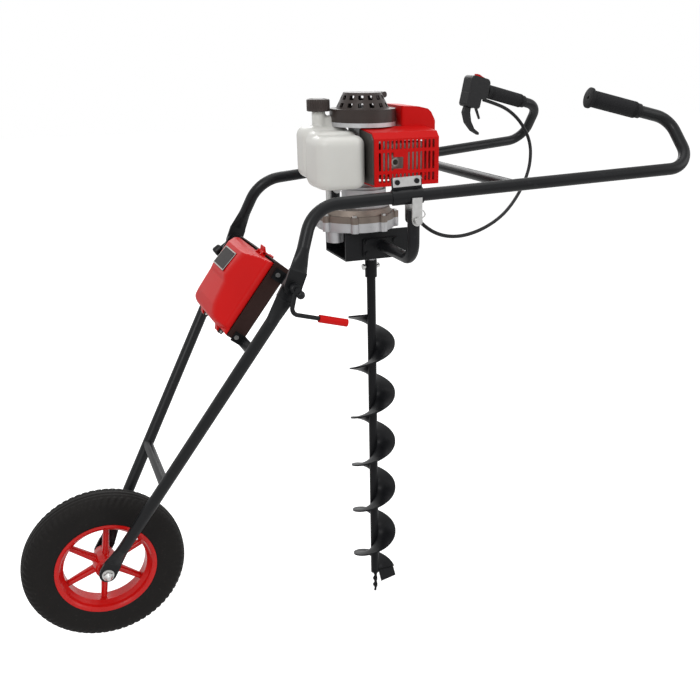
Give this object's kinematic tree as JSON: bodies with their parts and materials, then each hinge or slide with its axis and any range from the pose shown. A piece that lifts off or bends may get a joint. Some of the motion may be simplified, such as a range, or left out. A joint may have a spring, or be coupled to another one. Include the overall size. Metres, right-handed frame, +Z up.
{
  "type": "ice fishing auger",
  "caption": "Petrol power auger for ice holes, slung on swing pins in a folding trolley frame with a front wheel, tool box, rear grips and a vertical helical bit.",
  "frame": {"origin": "tip of the bit's point, on the bit's axis", "axes": "+Z up along the bit, +X back from the wheel towards the operator, -Y the operator's left"},
  "size_m": [1.4633, 0.6986, 1.3057],
  "materials": {
    "black_paint": "gloss",
    "zinc": "zinc plated, satin",
    "bright_steel": "machined",
    "grip_rubber": "matt, fine ribs",
    "black_plastic": "matt",
    "dark_plastic": "matt charcoal brown",
    "red_plastic": "gloss",
    "red_rim": "gloss",
    "tyre_rubber": "matt",
    "cast_alloy": "as cast",
    "bronze_alloy": "as cast, tinted",
    "tank_plastic": "translucent white",
    "plate_dark": "dark plate, light edge",
    "cable_black": "matt sheath",
    "gear_steel": "ground",
    "dark_steel": "heat-resistant paint"
  },
  "bodies": {
    "handle_frame": {"handle_tube_left": "black_paint", "handle_tube_right": "black_paint", "cross_brace": "black_paint", "grip_left": "grip_rubber", "grip_right": "grip_rubber", "throttle_housing": "black_plastic", "throttle_cable": "cable_black", "saddle_clamps": "black_paint", "clamp_plates": "zinc", "clamp_screws": "black_paint", "hanger_pins": "zinc", "pivot_bolts": "black_paint"},
    "trigger": {"throttle_trigger": "black_plastic"},
    "lockout": {"lockout_lever": "black_plastic"},
    "stop_switch": {"stop_rocker": "red_plastic"},
    "near_clamp": {"clamp_crank": "black_paint", "crank_grip": "red_plastic"},
    "far_clamp": {"far_clamp_lever": "black_paint"},
    "fork": {"fork_tubes": "black_paint", "axle_bolt": "zinc", "tool_tray": "black_paint", "tray_pins": "zinc", "tray_brackets": "black_paint"},
    "wheel": {"wheel_bearings": "bright_steel", "wheel_rim": "red_rim", "tyre": "tyre_rubber"},
    "lid": {"tool_lid": "red_plastic", "name_plate": "plate_dark"},
    "latch": {"lid_latch": "red_plastic"},
    "power_head": {"cradle_tubes": "black_paint", "cradle_plates": "black_paint", "gearbox_bracket": "black_paint", "gearbox_lower": "cast_alloy", "gearbox_upper": "bronze_alloy", "gearbox_bolts": "zinc", "shaft_bearings": "bright_steel", "clutch_housing": "cast_alloy", "crankcase": "cast_alloy", "cylinder": "cast_alloy", "spark_plug": "cast_alloy", "recoil_housing": "dark_plastic", "top_shroud": "red_plastic", "muffler": "dark_steel", "muffler_cover": "red_plastic", "side_guard": "dark_steel", "carburettor": "cast_alloy", "air_filter": "black_plastic", "fuel_tank": "tank_plastic"},
    "bit": {"output_shaft": "gear_steel", "bit_tube": "black_paint", "drive_pin": "zinc", "bit_flight": "black_paint", "cutting_blade": "black_paint"},
    "lay_gear": {"intermediate_gear": "gear_steel"},
    "drum": {"clutch_drum": "gear_steel"},
    "crank": {"crankshaft": "gear_steel"},
    "starter": {"starter_handle": "dark_plastic"},
    "tank_cap": {"fuel_cap": "dark_plastic"},
    "choke": {"choke_lever": "black_plastic"}
  },
  "joints": [
    {"name": "trigger_squeeze", "type": "hinge", "parent": "handle_frame", "child": "trigger", "pos_m": [0.37421, 0.23352, 1.23704], "axis": [0.1315, -0.9913, 0], "range_deg": [0, 15], "stiffness_Nm_per_rad": 0.6, "springref_deg": -17.19},
    {"name": "lockout_press", "type": "hinge", "parent": "handle_frame", "child": "lockout", "pos_m": [0.39295, 0.236, 1.23872], "axis": [0.1315, -0.9913, 0], "range_deg": [0, 20], "stiffness_Nm_per_rad": 0.2, "springref_deg": -17.19},
    {"name": "stop_switch_rock", "type": "hinge", "parent": "handle_frame", "child": "stop_switch", "pos_m": [0.40602, 0.23774, 1.29417], "axis": [0.1315, -0.9913, 0], "range_deg": [0, 12]},
    {"name": "near_clamp_turn", "type": "hinge", "parent": "handle_frame", "child": "near_clamp", "pos_m": [-0.262, -0.256, 0.93], "axis": [0, -1, 0], "range_deg": [0, 360]},
    {"name": "far_clamp_turn", "type": "hinge", "parent": "handle_frame", "child": "far_clamp", "pos_m": [-0.262, 0.254, 0.93], "axis": [0, 1, 0], "range_deg": [0, 360]},
    {"name": "fork_fold", "type": "hinge", "parent": "handle_frame", "child": "fork", "pos_m": [-0.262, 0, 0.93], "axis": [0, 1, 0], "range_deg": [-25, 120]},
    {"name": "wheel_spin", "type": "hinge", "parent": "fork", "child": "wheel", "pos_m": [-0.665, 0, 0.27], "axis": [0, 1, 0], "continuous": true},
    {"name": "lid_open", "type": "hinge", "parent": "fork", "child": "lid", "pos_m": [-0.37815, 0, 0.8088], "axis": [0, -1, 0], "range_deg": [0, 110]},
    {"name": "latch_flip", "type": "hinge", "parent": "lid", "child": "latch", "pos_m": [-0.27277, -0.06, 0.96375], "axis": [0, -1, 0], "range_deg": [0, 90]},
    {"name": "engine_swing", "type": "hinge", "parent": "handle_frame", "child": "power_head", "pos_m": [0, 0, 1.041], "axis": [0, 1, 0], "range_deg": [-20, 20], "deforming": ["throttle_cable"]},
    {"name": "bit_spin", "type": "hinge", "parent": "power_head", "child": "bit", "pos_m": [0, 0, 0.9], "axis": [0, 0, 1], "continuous": true},
    {"name": "lay_gear_spin", "type": "hinge", "parent": "power_head", "child": "lay_gear", "pos_m": [-0.054, 0, 1], "axis": [0, 0, 1], "continuous": true},
    {"name": "drum_spin", "type": "hinge", "parent": "power_head", "child": "drum", "pos_m": [-0.015, 0, 1.03], "axis": [0, 0, 1], "continuous": true},
    {"name": "crank_spin", "type": "hinge", "parent": "power_head", "child": "crank", "pos_m": [-0.015, 0, 1.14], "axis": [0, 0, 1], "continuous": true},
    {"name": "starter_pull", "type": "slide", "parent": "power_head", "child": "starter", "axis": [0.8401, 0.26, 0.4761], "range_m": [0, 0.6]},
    {"name": "fuel_cap_turn", "type": "hinge", "parent": "power_head", "child": "tank_cap", "pos_m": [-0.112, 0.012, 1.25], "axis": [0, 0, 1], "range_deg": [0, 450]},
    {"name": "choke_turn", "type": "hinge", "parent": "power_head", "child": "choke", "pos_m": [0.051, 0.064, 1.14], "axis": [1, 0, 0], "range_deg": [0, 60]}
  ],
  "couplings": [
    {"joint": "lay_gear_spin", "follows": "bit_spin", "ratio": -3.5},
    {"joint": "drum_spin", "follows": "bit_spin", "ratio": 14.7}
  ]
}
